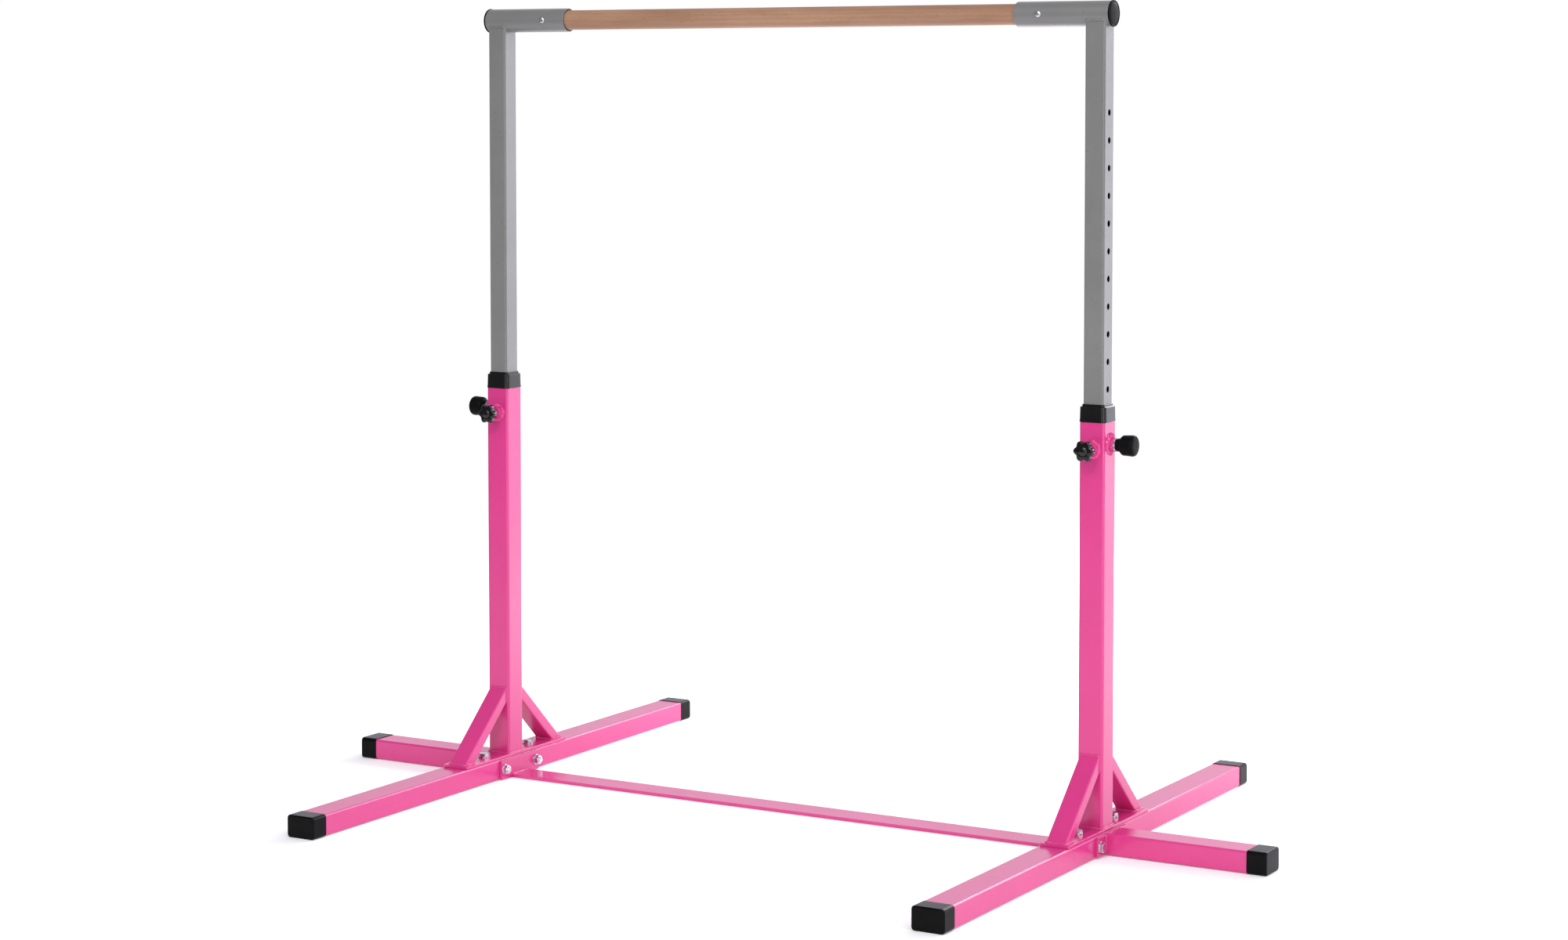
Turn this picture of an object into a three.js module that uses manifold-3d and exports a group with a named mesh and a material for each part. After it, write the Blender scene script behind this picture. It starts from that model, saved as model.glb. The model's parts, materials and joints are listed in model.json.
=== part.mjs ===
// Height-adjustable horizontal bar for gymnastics: a wooden rail on two telescopic masts.
// Millimetres, +X along the rail, +Y to the back, +Z up. The origin is on the floor, midway
// between the two masts. Each piece of a mast is made once, in the mast's own frame: its axis
// is at x = 0 and +x points away from the middle of the bar. The left mast is its mirror image.

import * as THREE from "three";
import { mergeVertices } from "three/addons/utils/BufferGeometryUtils.js";
import Module from "manifold-3d";

const wasm = await Module();
wasm.setup();

// ---------------------------------------------------------------- driving dimensions
const GAP = 0.3; // between pieces that touch
const CLEARANCE = 0.4; // radial, round a shank or a pin
const ROUND_SEGMENTS = 24; // round the rail and its sleeves

const MAST_X = 655; // from the middle of the rail to a mast's axis
const RAIL_HEIGHT = 1524; // rail axis above the floor, with the masts fully out
const HEIGHT_HOLES = { count: 13, pitch: 50, radius: 6 };

const BASE_TUBE = { wide: 60, high: 40, wall: 2, corner: 4 };
const BASE_REACH = 661; // from the mast's axis to the outer face of a base cap
const OUTRIGGER_REACH = 345; // from the mast's axis to the outer face of its cap
const CAP = { wall: 1, end: 3, length: 38, corner: 6, bevel: 2 };

const FLANGE = { thick: 5, long: 130, high: 36, corner: 3 };
const STRAP = { wide: 60, thick: 6, clear: 0.6 };
const PLATE = { wide: 60, long: 350, thick: 5, corner: 4 };

const POST = { side: 50, wall: 2, corner: 5, top: 787 };
const UPRIGHT = { side: 40, wall: 2, corner: 4, bottom: 700 };
const BRACE = { wide: 40, deep: 22, wall: 2, head: 180, foot: 168 }; // head and foot: outer edge
const COLLAR = { side: 53, corner: 5, high: 28, lipSide: 46, lipHigh: 4, skirt: 30 };

const SLEEVE = { radius: 23.25, bore: 21.25, inner: -162, outer: 26 };
const SLEEVE_CAP = { radius: 24.2, rim: 2.6, dome: 3.8, plug: 14 };
const RAIL = { radius: 19.4, overrun: 8 };
const RAIL_BUSH = { recess: 0.6, length: 40 };
const RAIL_SCREW = { x: SLEEVE.inner + 50, head: 6, headHigh: 3, shank: 2.4, tip: 8 };

const BOLT = { shank: 5, acrossFlats: 17, headHigh: 6, washer: 10.5, washerThick: 2 };
const NUT = { high: 8, tail: 4 }; // tail: how far the bolt stands out past the nut
const SIDE_BOLT_Y = 55;
const PLATE_BOLT_Y = 78;
const PLATE_BOLT_DEPTH = 22; // below the top of the foot plate

// Distances along the plunger and the clamp are measured from the mast's axis.
const PLUNGER = { z: 746, pin: 5, tip: 15, shoulder: 6.8, shoulderThick: 2 };
const PLUNGER_BOSS = { root: 19, nose: 13, bore: 9, rootLong: 5, long: 10 };
const PLUNGER_BUSH = { ring: 12.5, ringThick: 4, chamber: 7.6, lip: 2 };
const PLUNGER_KNOB = { neck: 12, neckLong: 9, radius: 19.4, long: 28, round: 5, dome: 2, grip: 21 };
const SPRING = { turns: 2.75, wire: 0.5, radius: 6.2 };

const CLAMP = { z: 738, stud: 5, boss: 13, bossLong: 9, free: 6 };
const STAR = { lobes: 6, tip: 19.8, valley: 15.6, thick: 15, bevel: 1.5, hub: 8, hubLong: 11, grip: 20 };

// ---------------------------------------------------------------- derived positions
const TUBE_BOTTOM = CAP.wall + GAP;
const TUBE_MIDDLE = TUBE_BOTTOM + BASE_TUBE.high / 2;
const TUBE_TOP = TUBE_BOTTOM + BASE_TUBE.high;
const PLATE_BOTTOM = TUBE_TOP + GAP;
const PLATE_TOP = PLATE_BOTTOM + PLATE.thick;
const POST_BOTTOM = PLATE_TOP + GAP;
const FLANGE_NEAR = BASE_TUBE.wide / 2 + GAP; // a flange's two faces, from the base tube's axis
const FLANGE_FAR = FLANGE_NEAR + FLANGE.thick;
const POST_FACE = POST.side / 2;
const BOSS_START = POST_FACE + GAP;
const BOLT_HOLE = BOLT.shank + CLEARANCE;

const BUSH_RING_START = BOSS_START + PLUNGER_BOSS.long + GAP;
const BUSH_RING_END = BUSH_RING_START + PLUNGER_BUSH.ringThick;
const CHAMBER_END = BUSH_RING_END - PLUNGER_BUSH.lip;
const SHOULDER_END = BOSS_START + GAP + PLUNGER.shoulderThick;
const KNOB_START = BUSH_RING_END + GAP;

const CLAMP_BOSS_END = BOSS_START + CLAMP.bossLong;
const STAR_START = CLAMP_BOSS_END + CLAMP.free;

// ---------------------------------------------------------------- materials
const material = (color, roughness, metalness) =>
  new THREE.MeshStandardMaterial({ color, roughness, metalness });
const pinkPowder = material(0xe85a9c, 0.3, 0);
const greyPowder = material(0x8f9091, 0.45, 0.1);
const blackPlastic = material(0x17171a, 0.5, 0);
const beech = material(0xbd8c6c, 0.55, 0);
const zinc = material(0xc9ccd0, 0.3, 1);
const springSteel = material(0x8d9196, 0.35, 1);

// ---------------------------------------------------------------- joining and cutting
// A geometry as a manifold solid: only positions, with shared vertices merged.
function solid(geometry) {
  const bare = geometry.clone();
  bare.deleteAttribute("normal");
  bare.deleteAttribute("uv");
  const merged = mergeVertices(bare, 1e-4);
  return new wasm.Manifold(
    new wasm.Mesh({
      numProp: 3,
      vertProperties: new Float32Array(merged.attributes.position.array),
      triVerts: new Uint32Array(merged.index.array),
    }),
  );
}

// A manifold solid back as a geometry.
function geometryOf(body) {
  const mesh = body.getMesh();
  const geometry = new THREE.BufferGeometry();
  geometry.setAttribute("position", new THREE.BufferAttribute(mesh.vertProperties, 3));
  geometry.setIndex(new THREE.BufferAttribute(mesh.triVerts, 1));
  return geometry;
}

const join = (first, ...rest) =>
  geometryOf(rest.reduce((body, next) => body.add(solid(next)), solid(first)));
const cut = (first, ...rest) =>
  geometryOf(rest.reduce((body, next) => body.subtract(solid(next)), solid(first)));

// ---------------------------------------------------------------- basic shapes, along +Z
// A rectangle with rounded corners, centred on the origin, as a Shape or a Path.
function roundedRectangle(wide, high, corner, Kind = THREE.Shape) {
  const w = wide / 2 - corner;
  const h = high / 2 - corner;
  const outline = new Kind();
  outline.absarc(w, h, corner, 0, Math.PI / 2);
  outline.absarc(-w, h, corner, Math.PI / 2, Math.PI);
  outline.absarc(-w, -h, corner, Math.PI, 1.5 * Math.PI);
  outline.absarc(w, -h, corner, 1.5 * Math.PI, 2 * Math.PI);
  outline.closePath();
  return outline;
}

const straight = (depth) => ({ depth, bevelEnabled: false, curveSegments: 2 });

// A prism with a rounded rectangular section.
function prism(wide, high, corner, from, to) {
  const outline = roundedRectangle(wide, high, corner);
  return new THREE.ExtrudeGeometry(outline, straight(to - from)).translate(0, 0, from);
}

// An open rectangular tube.
function tube({ wide, high, wall, corner }, from, to) {
  const outline = roundedRectangle(wide, high, corner);
  const innerCorner = corner - wall / 2;
  const inner = [wide - 2 * wall, high - 2 * wall, innerCorner];
  outline.holes.push(roundedRectangle(...inner, THREE.Path));
  return new THREE.ExtrudeGeometry(outline, straight(to - from)).translate(0, 0, from);
}

// A solid of revolution from [radius, z] points, which keep the material on their left. The
// profile starts and ends on the axis, or closes on itself.
function turned(profile, segments = 16) {
  const points = profile.map(([radius, z]) => new THREE.Vector2(radius, z));
  return new THREE.LatheGeometry(points, segments).rotateX(Math.PI / 2);
}

const rod = (radius, from, to, segments = 12) =>
  turned([[0, from], [radius, from], [radius, to], [0, to]], segments);

const ring = (inner, outer, from, to, segments = 16) =>
  turned([[inner, from], [outer, from], [outer, to], [inner, to], [inner, from]], segments);

function hexagon(acrossFlats, from, to) {
  const radius = acrossFlats / 2 / Math.cos(Math.PI / 6);
  const sides = new THREE.CylinderGeometry(radius, radius, to - from, 6);
  return sides.rotateX(Math.PI / 2).translate(0, 0, (from + to) / 2);
}

// These turn a shape made along +Z to point outwards (+X) or to the front (-Y). A section's
// first dimension then lies level and its second one upright.
const outwards = (geometry) => geometry.rotateZ(Math.PI / 2).rotateY(Math.PI / 2);
const frontwards = (geometry) => geometry.rotateX(Math.PI / 2);

// ---------------------------------------------------------------- base
// Cutters for the two through bolts, and for the two bolts of the foot plate.
function sideBoltHoles(from, to) {
  return [SIDE_BOLT_Y, -SIDE_BOLT_Y].map((y) =>
    outwards(rod(BOLT_HOLE, from, to)).translate(0, y, TUBE_MIDDLE),
  );
}

function plateBoltHoles(from, to) {
  return [PLATE_BOLT_Y, -PLATE_BOLT_Y].map((y) => rod(BOLT_HOLE, from, to).translate(0, y, 0));
}

function baseTube() {
  const half = BASE_REACH - CAP.end - GAP;
  const body = frontwards(tube(BASE_TUBE, -half, half)).translate(0, 0, TUBE_MIDDLE);
  const wayThrough = BASE_TUBE.wide;
  return cut(
    body,
    ...sideBoltHoles(-wayThrough, wayThrough),
    ...plateBoltHoles(TUBE_MIDDLE, PLATE_TOP),
  );
}

// A push-on cap with its mouth at z = 0. The bevel at the mouth is cut off again.
function tubeCap() {
  const inside = { wide: BASE_TUBE.wide + 2 * GAP, high: BASE_TUBE.high + 2 * GAP };
  const wide = inside.wide + 2 * CAP.wall;
  const high = inside.high + 2 * CAP.wall;
  const outside = new THREE.ExtrudeGeometry(roundedRectangle(wide, high, CAP.corner), {
    depth: CAP.length,
    bevelThickness: CAP.bevel,
    bevelSize: CAP.bevel,
    bevelOffset: -CAP.bevel,
    bevelSegments: 1,
    curveSegments: 2,
  }).translate(0, 0, -CAP.bevel);
  const mouth = prism(2 * wide, 2 * high, CAP.corner, -3 * CAP.bevel, 0);
  const room = prism(inside.wide, inside.high, BASE_TUBE.corner, -GAP, CAP.length - CAP.end);
  return cut(outside, mouth, room);
}

const baseCap = () => frontwards(tubeCap()).translate(0, CAP.length - BASE_REACH, TUBE_MIDDLE);
const outriggerCap = () =>
  outwards(tubeCap()).translate(OUTRIGGER_REACH - CAP.length, 0, TUBE_MIDDLE);

// A bolting flange that stands against a base tube, between two distances along +X.
function flange(from, to) {
  const plate = prism(FLANGE.long, FLANGE.high, FLANGE.corner, from, to);
  return outwards(plate).translate(0, 0, TUBE_MIDDLE);
}

function outrigger() {
  const end = OUTRIGGER_REACH - CAP.end - GAP;
  const arm = outwards(tube(BASE_TUBE, FLANGE_FAR - 1, end)).translate(0, 0, TUBE_MIDDLE);
  const welded = join(arm, flange(FLANGE_NEAR, FLANGE_FAR));
  return cut(welded, ...sideBoltHoles(FLANGE_NEAR - 1, FLANGE_FAR + 1));
}

// The flat bar between the two masts, with an upright flange at each end, in the bar's frame.
function floorStrap() {
  const length = 2 * (MAST_X - FLANGE_FAR) + 2;
  const flat = new THREE.BoxGeometry(length, STRAP.wide, STRAP.thick);
  flat.translate(0, 0, STRAP.clear + STRAP.thick / 2);
  const flangeHigh = TUBE_MIDDLE + FLANGE.high / 2 - STRAP.clear;
  const ends = [];
  const holes = [];
  for (const side of [-1, 1]) {
    const x = side * (MAST_X - (FLANGE_NEAR + FLANGE_FAR) / 2);
    const end = new THREE.BoxGeometry(FLANGE.thick, FLANGE.long, flangeHigh);
    ends.push(end.translate(x, 0, STRAP.clear + flangeHigh / 2));
    holes.push(...sideBoltHoles(-FLANGE.thick, FLANGE.thick).map((h) => h.translate(x, 0, 0)));
  }
  return cut(join(flat, ...ends), ...holes);
}

function footPlate() {
  const plate = prism(PLATE.wide, PLATE.long, PLATE.corner, PLATE_BOTTOM, PLATE_TOP);
  return cut(plate, ...plateBoltHoles(TUBE_MIDDLE, PLATE_TOP + 1));
}

function post() {
  const section = { wide: POST.side, high: POST.side, wall: POST.wall, corner: POST.corner };
  const pinHole = rod(PLUNGER.pin + CLEARANCE, 0, POST.side);
  const studHole = rod(CLAMP.stud + CLEARANCE, 0, POST.side);
  return cut(
    tube(section, POST_BOTTOM, POST.top),
    outwards(pinHole).translate(0, 0, PLUNGER.z),
    frontwards(studHole).translate(0, 0, CLAMP.z),
  );
}

// The side view of a front brace between a post face and a floor line, with `inset` taken off
// its two long edges. Its first coordinate is the distance in front of the mast's axis.
function braceOutline(inset, face, floor) {
  const rise = BRACE.head - POST_BOTTOM;
  const run = BRACE.foot - BOSS_START;
  const upright = Math.hypot(rise, run) / run; // upright drop per unit of depth
  const heightAt = (y, depth) => BRACE.head - ((y - BOSS_START) * rise) / run - depth * upright;
  const reachAt = (z, depth) => BOSS_START + ((BRACE.head - depth * upright - z) * run) / rise;
  const [outer, inner] = [inset, BRACE.deep - inset];
  return new THREE.Shape([
    new THREE.Vector2(face, heightAt(face, inner)),
    new THREE.Vector2(reachAt(floor, inner), floor),
    new THREE.Vector2(reachAt(floor, outer), floor),
    new THREE.Vector2(face, heightAt(face, outer)),
  ]);
}

// A mitred rectangular tube, open at both mitres, with the piece that hollows it cut past them.
function brace() {
  const side = (outline, wide) =>
    new THREE.ExtrudeGeometry(outline, straight(wide)).translate(0, 0, -wide / 2);
  const outside = side(braceOutline(0, BOSS_START, POST_BOTTOM), BRACE.wide);
  const past = 4 * BRACE.wall;
  const hollow = side(
    braceOutline(BRACE.wall, BOSS_START - past, POST_BOTTOM - past),
    BRACE.wide - 2 * BRACE.wall,
  );
  return cut(outside, hollow).rotateX(Math.PI / 2).rotateZ(-Math.PI / 2);
}

function postCollar() {
  const bodyStart = POST.top + GAP;
  const bodyEnd = bodyStart + COLLAR.high;
  const skirtSide = POST.side - 2 * POST.wall - 2 * GAP;
  const bore = UPRIGHT.side + 2 * GAP;
  const corner = UPRIGHT.corner;
  const body = join(
    prism(COLLAR.side, COLLAR.side, COLLAR.corner, bodyStart, bodyEnd),
    prism(COLLAR.lipSide, COLLAR.lipSide, corner, bodyEnd - 1, bodyEnd + COLLAR.lipHigh),
    prism(skirtSide, skirtSide, corner, bodyStart - COLLAR.skirt, bodyStart + 1),
  );
  return cut(body, prism(bore, bore, corner, POST.top - 2 * COLLAR.skirt, RAIL_HEIGHT));
}

// ---------------------------------------------------------------- bolts
// Each is made along +Z with its head's washer lying on z = 0.
function boltTo(depth) {
  const start = GAP;
  const washerEnd = start + BOLT.washerThick;
  const shank = [[0, -depth], [BOLT.shank, -depth], [BOLT.shank, start]];
  const washer = [[BOLT.washer, start], [BOLT.washer, washerEnd], [0, washerEnd]];
  const head = hexagon(BOLT.acrossFlats, washerEnd - 1, washerEnd + BOLT.headHigh);
  return join(turned([...shank, ...washer], 12), head);
}

function sideBolt() {
  const nutEnd = FLANGE_FAR + GAP + BOLT.washerThick + NUT.high;
  const bolt = outwards(boltTo(FLANGE_FAR + nutEnd + NUT.tail));
  return bolt.translate(FLANGE_FAR, -SIDE_BOLT_Y, TUBE_MIDDLE);
}

function sideNut() {
  const start = -FLANGE_FAR - GAP;
  const washerEnd = start - BOLT.washerThick;
  const washer = rod(BOLT.washer, washerEnd, start);
  const nut = hexagon(BOLT.acrossFlats, washerEnd - NUT.high, washerEnd + 1);
  const bore = rod(BOLT_HOLE, 2 * washerEnd, 0);
  return outwards(cut(join(washer, nut), bore)).translate(0, -SIDE_BOLT_Y, TUBE_MIDDLE);
}

const plateBolt = () => boltTo(PLATE_BOLT_DEPTH).translate(0, -PLATE_BOLT_Y, PLATE_TOP);

// ---------------------------------------------------------------- upper frame
function upright() {
  const section = { wide: UPRIGHT.side, high: UPRIGHT.side, wall: UPRIGHT.wall };
  const body = tube({ ...section, corner: UPRIGHT.corner }, UPRIGHT.bottom, RAIL_HEIGHT);
  const saddle = outwards(rod(SLEEVE.radius + GAP, -UPRIGHT.side, UPRIGHT.side, ROUND_SEGMENTS));
  const holes = [];
  for (let i = 0; i < HEIGHT_HOLES.count; i += 1) {
    const hole = outwards(rod(HEIGHT_HOLES.radius, 0, UPRIGHT.side, 10));
    holes.push(hole.translate(0, 0, PLUNGER.z + i * HEIGHT_HOLES.pitch));
  }
  return cut(body, saddle.translate(0, 0, RAIL_HEIGHT), ...holes);
}

function sleeve() {
  const body = outwards(ring(SLEEVE.bore, SLEEVE.radius, SLEEVE.inner, SLEEVE.outer, ROUND_SEGMENTS));
  const hole = frontwards(rod(RAIL_SCREW.shank + CLEARANCE, 0, 2 * SLEEVE.radius));
  return cut(body, hole.translate(RAIL_SCREW.x, 0, 0)).translate(0, 0, RAIL_HEIGHT);
}

// A shallow dome with a rim, and a plug that fits in the sleeve.
function sleeveCap() {
  const face = SLEEVE.outer + GAP;
  const plug = SLEEVE.bore - GAP;
  const { radius, rim, dome } = SLEEVE_CAP;
  const profile = [
    [0, SLEEVE.outer - SLEEVE_CAP.plug],
    [plug, SLEEVE.outer - SLEEVE_CAP.plug],
    [plug, face],
    [radius, face],
    [radius, face + rim],
    [radius - 1.5, face + rim + 1],
    [radius / 2, face + dome - 0.4],
    [0, face + dome],
  ];
  return outwards(turned(profile, ROUND_SEGMENTS)).translate(0, 0, RAIL_HEIGHT);
}

function railBush() {
  const from = SLEEVE.inner + RAIL_BUSH.recess;
  const radii = [RAIL.radius + GAP, SLEEVE.bore - GAP];
  const bush = ring(...radii, from, from + RAIL_BUSH.length, ROUND_SEGMENTS);
  return outwards(bush).translate(0, 0, RAIL_HEIGHT);
}

// A pan-head screw through the front of the sleeve into the rail.
function railScrew() {
  const under = SLEEVE.radius + GAP;
  const { head, headHigh, shank, tip } = RAIL_SCREW;
  const profile = [
    [0, tip],
    [shank, tip + 3],
    [shank, under],
    [head, under],
    [head, under + headHigh / 2],
    [head * 0.7, under + headHigh * 0.9],
    [0, under + headHigh],
  ];
  return frontwards(turned(profile, 12)).translate(RAIL_SCREW.x, 0, RAIL_HEIGHT);
}

function rail() {
  const half = MAST_X + RAIL.overrun;
  const screwHoles = [-1, 1].map((side) => {
    const hole = rod(RAIL_SCREW.shank + CLEARANCE, RAIL_SCREW.tip - 1, 2 * RAIL.radius);
    return frontwards(hole).translate(side * (MAST_X + RAIL_SCREW.x), 0, 0);
  });
  const wood = outwards(rod(RAIL.radius, -half, half, ROUND_SEGMENTS));
  return cut(wood, ...screwHoles).translate(0, 0, RAIL_HEIGHT);
}

// ---------------------------------------------------------------- plungers
const atPlunger = (geometry) => outwards(geometry).translate(0, 0, PLUNGER.z);

function plungerBoss() {
  const end = BOSS_START + PLUNGER_BOSS.long;
  const { root, nose, bore, rootLong } = PLUNGER_BOSS;
  const profile = [
    [bore, BOSS_START],
    [root, BOSS_START],
    [root - 1, BOSS_START + rootLong / 3],
    [nose, BOSS_START + rootLong],
    [nose, end],
    [bore, end],
    [bore, BOSS_START],
  ];
  return atPlunger(turned(profile));
}

// A flanged bush in the boss: it closes the spring's chamber and guides the pin.
function plungerBush() {
  const barrel = PLUNGER_BOSS.bore - GAP;
  const bore = PLUNGER.pin + CLEARANCE;
  const { ring: flangeRadius, chamber } = PLUNGER_BUSH;
  const profile = [
    [chamber, SHOULDER_END],
    [barrel, SHOULDER_END],
    [barrel, BUSH_RING_START],
    [flangeRadius, BUSH_RING_START],
    [flangeRadius, BUSH_RING_END],
    [bore, BUSH_RING_END],
    [bore, CHAMBER_END],
    [chamber, CHAMBER_END],
    [chamber, SHOULDER_END],
  ];
  return atPlunger(turned(profile));
}

// The pin goes through the post into a height hole. Its shoulder carries the spring.
function plungerPin() {
  const { pin, tip, shoulder, shoulderThick } = PLUNGER;
  const shoulderStart = SHOULDER_END - shoulderThick;
  const profile = [
    [0, tip],
    [pin - 1.2, tip],
    [pin, tip + 1.5],
    [pin, shoulderStart],
    [shoulder, shoulderStart],
    [shoulder, SHOULDER_END],
    [pin, SHOULDER_END],
    [pin, KNOB_START + PLUNGER_KNOB.grip - GAP],
    [0, KNOB_START + PLUNGER_KNOB.grip - GAP],
  ];
  return atPlunger(turned(profile, 12));
}

function plungerKnob() {
  const { neck, neckLong, radius, long, round, dome, grip } = PLUNGER_KNOB;
  const bore = PLUNGER.pin + CLEARANCE;
  const bodyStart = KNOB_START + neckLong;
  const end = bodyStart + long;
  const profile = [
    [0, KNOB_START + grip],
    [bore, KNOB_START + grip],
    [bore, KNOB_START],
    [neck - 1, KNOB_START],
    [neck, KNOB_START + 1],
    [neck, bodyStart - 1],
    [radius - 2, bodyStart],
    [radius, bodyStart + 3],
  ];
  const steps = 3;
  for (let i = 0; i <= steps; i += 1) {
    const angle = (i / steps) * (Math.PI / 2);
    const r = radius - round + round * Math.cos(angle);
    profile.push([r, end - dome - round + round * Math.sin(angle)]);
  }
  profile.push([0, end]);
  return atPlunger(turned(profile, 16));
}

class Helix extends THREE.Curve {
  getPoint(t, target = new THREE.Vector3()) {
    const angle = 2 * Math.PI * SPRING.turns * t;
    const start = SHOULDER_END + SPRING.wire + GAP;
    const end = CHAMBER_END - SPRING.wire - GAP;
    const { radius } = SPRING;
    return target.set(
      radius * Math.cos(angle),
      radius * Math.sin(angle),
      start + (end - start) * t,
    );
  }
}

function plungerSpring() {
  const wire = new THREE.Shape();
  wire.absarc(0, 0, SPRING.wire, 0, 2 * Math.PI);
  const stepsPerTurn = 9;
  const steps = Math.round(SPRING.turns * stepsPerTurn);
  const options = { steps, extrudePath: new Helix(), bevelEnabled: false, curveSegments: 2 };
  return atPlunger(new THREE.ExtrudeGeometry(wire, options));
}

// ---------------------------------------------------------------- clamps
const atClamp = (geometry) => frontwards(geometry).translate(0, 0, CLAMP.z);

function clampBoss() {
  const bore = CLAMP.stud + CLEARANCE;
  const profile = [
    [bore, BOSS_START],
    [CLAMP.boss + 2, BOSS_START],
    [CLAMP.boss, BOSS_START + 3],
    [CLAMP.boss, CLAMP_BOSS_END - 1],
    [CLAMP.boss - 1, CLAMP_BOSS_END],
    [bore, CLAMP_BOSS_END],
    [bore, BOSS_START],
  ];
  return atClamp(turned(profile));
}

// The stud presses on the upright's front face.
function clampStud() {
  const end = STAR_START + STAR.grip - GAP;
  return atClamp(rod(CLAMP.stud, UPRIGHT.side / 2 + GAP, end));
}

// A lobed grip with two lobes lying level, on the round metal insert that takes the stud.
function starKnob() {
  const pointsPerLobe = 6;
  const count = STAR.lobes * pointsPerLobe;
  const middle = (STAR.tip + STAR.valley) / 2;
  const swing = (STAR.tip - STAR.valley) / 2;
  const outline = [];
  for (let i = 0; i < count; i += 1) {
    const angle = (2 * Math.PI * i) / count;
    const radius = middle + swing * Math.cos(STAR.lobes * angle);
    outline.push(new THREE.Vector2(radius * Math.cos(angle), radius * Math.sin(angle)));
  }
  const grip = new THREE.ExtrudeGeometry(new THREE.Shape(outline), {
    depth: STAR.thick - 2 * STAR.bevel,
    bevelThickness: STAR.bevel,
    bevelSize: STAR.bevel,
    bevelOffset: -STAR.bevel,
    bevelSegments: 1,
  }).translate(0, 0, STAR_START + STAR.hubLong + STAR.bevel);
  const hub = rod(STAR.hub, STAR_START, STAR_START + STAR.hubLong + STAR.bevel, 16);
  const bore = rod(CLAMP.stud + CLEARANCE, 0, STAR_START + STAR.grip);
  return atClamp(cut(join(grip, hub), bore));
}

// ---------------------------------------------------------------- scene graph
// Pieces that a mast has once.
const MAST_PIECES = [
  ["base_tube", baseTube, pinkPowder],
  ["outrigger", outrigger, pinkPowder],
  ["outrigger_cap", outriggerCap, blackPlastic],
  ["foot_plate", footPlate, pinkPowder],
  ["post", post, pinkPowder],
  ["post_collar", postCollar, blackPlastic],
  ["upright", upright, greyPowder],
  ["sleeve", sleeve, greyPowder],
  ["sleeve_cap", sleeveCap, blackPlastic],
  ["rail_bush", railBush, blackPlastic],
  ["rail_screw", railScrew, zinc],
  ["plunger_boss", plungerBoss, pinkPowder],
  ["plunger_bush", plungerBush, zinc],
  ["plunger_pin", plungerPin, zinc],
  ["plunger_knob", plungerKnob, blackPlastic],
  ["plunger_spring", plungerSpring, springSteel],
  ["clamp_boss", clampBoss, pinkPowder],
  ["clamp_stud", clampStud, zinc],
  ["star_knob", starKnob, blackPlastic],
];

// Pieces that a mast has at its front and, mirrored, at its back.
const END_PIECES = [
  ["base_cap", baseCap, blackPlastic],
  ["brace", brace, pinkPowder],
  ["side_bolt", sideBolt, zinc],
  ["side_nut", sideNut, zinc],
  ["plate_bolt", plateBolt, zinc],
];

function piece(name, geometry, finish) {
  const mesh = new THREE.Mesh(geometry, finish.clone());
  mesh.name = name;
  return mesh;
}

function mast(side, sign) {
  const group = new THREE.Group();
  group.position.x = sign * MAST_X;
  group.scale.x = sign;
  for (const [name, make, finish] of MAST_PIECES) {
    group.add(piece(`${name}_${side}`, make(), finish));
  }
  for (const [end, endSign] of [["front", 1], ["back", -1]]) {
    const half = new THREE.Group();
    half.scale.y = endSign;
    for (const [name, make, finish] of END_PIECES) {
      half.add(piece(`${name}_${side}_${end}`, make(), finish));
    }
    group.add(half);
  }
  return group;
}

const horizontalBar = new THREE.Group();
horizontalBar.add(mast("left", -1), mast("right", 1));
horizontalBar.add(piece("rail", rail(), beech));
horizontalBar.add(piece("floor_strap", floorStrap(), pinkPowder));

export default horizontalBar;
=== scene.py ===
import json
from math import cos, pi, radians, sin, sqrt, tan

import bmesh
import bpy
from mathutils import Matrix, Vector, noise


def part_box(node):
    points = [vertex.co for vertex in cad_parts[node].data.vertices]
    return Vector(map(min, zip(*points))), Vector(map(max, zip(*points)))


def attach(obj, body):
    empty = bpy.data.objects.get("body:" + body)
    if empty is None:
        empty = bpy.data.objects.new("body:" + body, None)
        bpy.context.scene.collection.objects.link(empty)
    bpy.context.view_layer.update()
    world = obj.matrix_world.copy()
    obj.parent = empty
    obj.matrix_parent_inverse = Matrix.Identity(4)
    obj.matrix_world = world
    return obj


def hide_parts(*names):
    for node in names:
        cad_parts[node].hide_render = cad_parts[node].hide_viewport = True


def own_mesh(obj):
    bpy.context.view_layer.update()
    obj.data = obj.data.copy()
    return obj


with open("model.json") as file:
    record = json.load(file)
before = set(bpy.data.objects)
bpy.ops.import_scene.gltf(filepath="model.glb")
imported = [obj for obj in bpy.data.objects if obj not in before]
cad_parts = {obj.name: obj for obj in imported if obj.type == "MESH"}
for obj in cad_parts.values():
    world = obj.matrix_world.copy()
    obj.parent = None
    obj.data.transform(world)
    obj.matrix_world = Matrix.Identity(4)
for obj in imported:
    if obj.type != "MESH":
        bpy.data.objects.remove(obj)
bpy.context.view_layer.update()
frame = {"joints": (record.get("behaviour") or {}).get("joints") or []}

# Height-adjustable horizontal bar. Each piece of a mast is built once, in millimetres, in the
# mast's own frame: its axis is at x = 0, +x points away from the middle of the bar and z is the
# height above the floor. A Place carries it to the right or the left mast, front or back.

# ---------------- driving dimensions
MM = 0.001
TUBE_WALL = 2.0
BASE_CORNER = 4.0
POST_CORNER = 5.0
UPRIGHT_CORNER = 4.0
SHEET_EDGE = 0.7  # rounding of the edges of plates and flat bars, under the paint
HOLE_EDGE = 0.35  # rounding of drilled edges
BORE_EDGE = 0.2  # rounding of the holes for the rail's screw
POST_RIM = 0.9
SEAT_GAP = 0.3  # the CAD gap that a washer or a cap closes
HOLE_PITCH = 50.0
HOLE_RADIUS = 6.0

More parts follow.
